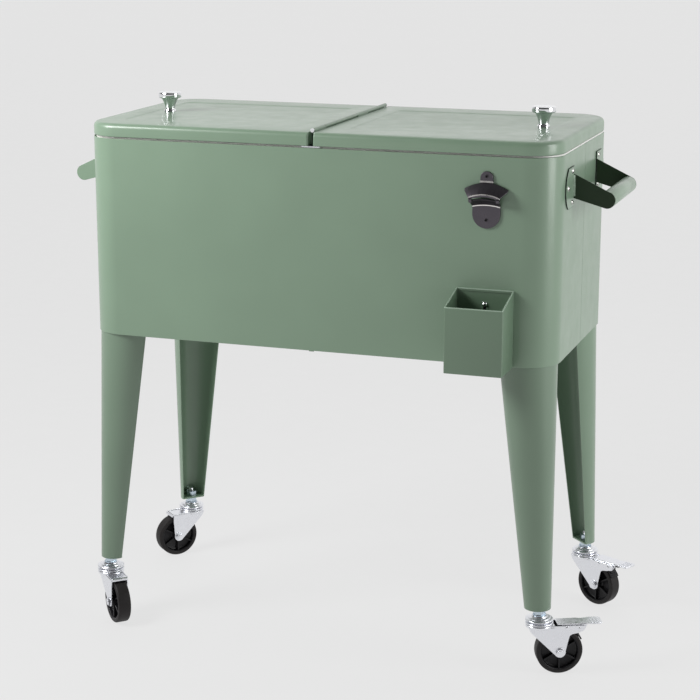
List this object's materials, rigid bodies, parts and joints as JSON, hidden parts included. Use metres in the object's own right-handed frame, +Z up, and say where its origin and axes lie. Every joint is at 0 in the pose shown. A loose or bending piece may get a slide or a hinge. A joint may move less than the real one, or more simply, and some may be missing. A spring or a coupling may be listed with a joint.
{
  "type": "cooler cart",
  "caption": "Rectangular insulated cooler on four tapered legs with swivel casters, two hinged lids, end handles, bottle opener and cap box.",
  "frame": {"origin": "on the floor under the middle of the whole cart's box", "axes": "+Z up, +X along the cabinet's length towards the end with the braked casters, -Y towards the front with the bottle opener"},
  "size_m": [0.9274, 0.4561, 0.88],
  "materials": {
    "green_paint": "satin",
    "white_plastic": "gloss",
    "foam": "matte",
    "brushed_steel": "brushed",
    "screw_steel": "satin",
    "chrome": "mirror",
    "zinc_plate": "satin",
    "black_plastic": "satin"
  },
  "bodies": {
    "cart": {"body_shell": "green_paint", "base_panel": "green_paint", "tub_liner": "white_plastic", "insulation": "foam", "centre_bar": "brushed_steel", "hinge_centre_leaf": "green_paint", "hinge_pin": "chrome", "hinge_screws": "screw_steel", "handle_left_brackets": "green_paint", "handle_left_grip": "green_paint", "handle_right_brackets": "green_paint", "handle_right_grip": "green_paint", "handle_screws": "screw_steel", "bottle_opener": "brushed_steel", "opener_screws": "screw_steel", "cap_box_screw": "screw_steel", "leg_fl": "green_paint", "leg_fr": "green_paint", "leg_bl": "green_paint", "leg_br": "green_paint", "leg_bolts": "zinc_plate", "drain_spout": "white_plastic", "drain_nut": "white_plastic", "stem_nuts": "zinc_plate", "caster_mount_fl": "zinc_plate", "caster_mount_fr": "zinc_plate", "caster_mount_bl": "zinc_plate", "caster_mount_br": "zinc_plate"},
    "lid_left": {"lid_left_shell": "green_paint", "lid_left_panel": "white_plastic", "lid_left_foam": "foam", "lid_left_leaf": "green_paint", "knob_left": "chrome", "knob_screw_left": "screw_steel"},
    "lid_right": {"lid_right_shell": "green_paint", "lid_right_panel": "white_plastic", "lid_right_foam": "foam", "lid_right_leaf": "green_paint", "knob_right": "chrome", "knob_screw_right": "screw_steel"},
    "cap_box": {"cap_box": "green_paint"},
    "drain_plug": {"drain_plug": "black_plastic"},
    "fork_fl": {"fork_fl": "zinc_plate", "axle_fl": "zinc_plate"},
    "wheel_fl": {"wheel_fl": "black_plastic"},
    "fork_fr": {"fork_fr": "zinc_plate", "axle_fr": "zinc_plate"},
    "wheel_fr": {"wheel_fr": "black_plastic"},
    "fork_bl": {"fork_bl": "zinc_plate", "axle_bl": "zinc_plate"},
    "wheel_bl": {"wheel_bl": "black_plastic"},
    "fork_br": {"fork_br": "zinc_plate", "axle_br": "zinc_plate"},
    "wheel_br": {"wheel_br": "black_plastic"},
    "pedal_fr": {"brake_pedal_fr": "zinc_plate", "brake_shoe_fr": "black_plastic"},
    "pedal_br": {"brake_pedal_br": "zinc_plate", "brake_shoe_br": "black_plastic"}
  },
  "joints": [
    {"name": "lid_left_hinge", "type": "hinge", "parent": "cart", "child": "lid_left", "pos_m": [-0.00568, 0.0342, 0.85], "axis": [0, 1, 0], "range_deg": [0, 160]},
    {"name": "lid_right_hinge", "type": "hinge", "parent": "cart", "child": "lid_right", "pos_m": [-0.00568, 0.0342, 0.85], "axis": [0, 1, 0], "range_deg": [-160, 0]},
    {"name": "swivel_fl", "type": "hinge", "parent": "cart", "child": "fork_fl", "pos_m": [-0.38018, -0.1363, 0.083], "axis": [0, 0, 1], "continuous": true},
    {"name": "swivel_fr", "type": "hinge", "parent": "cart", "child": "fork_fr", "pos_m": [0.36882, -0.1363, 0.083], "axis": [0, 0, 1], "continuous": true},
    {"name": "swivel_bl", "type": "hinge", "parent": "cart", "child": "fork_bl", "pos_m": [-0.38018, 0.2047, 0.083], "axis": [0, 0, 1], "continuous": true},
    {"name": "swivel_br", "type": "hinge", "parent": "cart", "child": "fork_br", "pos_m": [0.36882, 0.2047, 0.083], "axis": [0, 0, 1], "continuous": true},
    {"name": "wheel_spin_fl", "type": "hinge", "parent": "fork_fl", "child": "wheel_fl", "pos_m": [-0.35755, -0.15893, 0.0375], "axis": [0.7071, 0.7071, 0], "continuous": true},
    {"name": "wheel_spin_fr", "type": "hinge", "parent": "fork_fr", "child": "wheel_fr", "pos_m": [0.39782, -0.12278, 0.0375], "axis": [-0.4226, 0.9063, 0], "continuous": true},
    {"name": "wheel_spin_bl", "type": "hinge", "parent": "fork_bl", "child": "wheel_bl", "pos_m": [-0.40159, 0.18092, 0.0375], "axis": [0.7431, -0.6691, 0], "continuous": true},
    {"name": "wheel_spin_br", "type": "hinge", "parent": "fork_br", "child": "wheel_br", "pos_m": [0.39758, 0.19067, 0.0375], "axis": [0.4384, 0.8988, 0], "continuous": true},
    {"name": "brake_pedal_fr", "type": "hinge", "parent": "fork_fr", "child": "pedal_fr", "pos_m": [0.40689, -0.11855, 0.078], "axis": [0.4226, -0.9063, 0], "range_deg": [0, 12]},
    {"name": "brake_pedal_br", "type": "hinge", "parent": "fork_br", "child": "pedal_br", "pos_m": [0.40657, 0.18629, 0.078], "axis": [-0.4384, -0.8988, 0], "range_deg": [0, 12]},
    {"name": "cap_box_lift", "type": "slide", "parent": "cart", "child": "cap_box", "axis": [0, 0, 1], "range_m": [0, 0.012]},
    {"name": "drain_plug_pull", "type": "slide", "parent": "cart", "child": "drain_plug", "axis": [0, 0, -1], "range_m": [0, 0.03]}
  ]
}
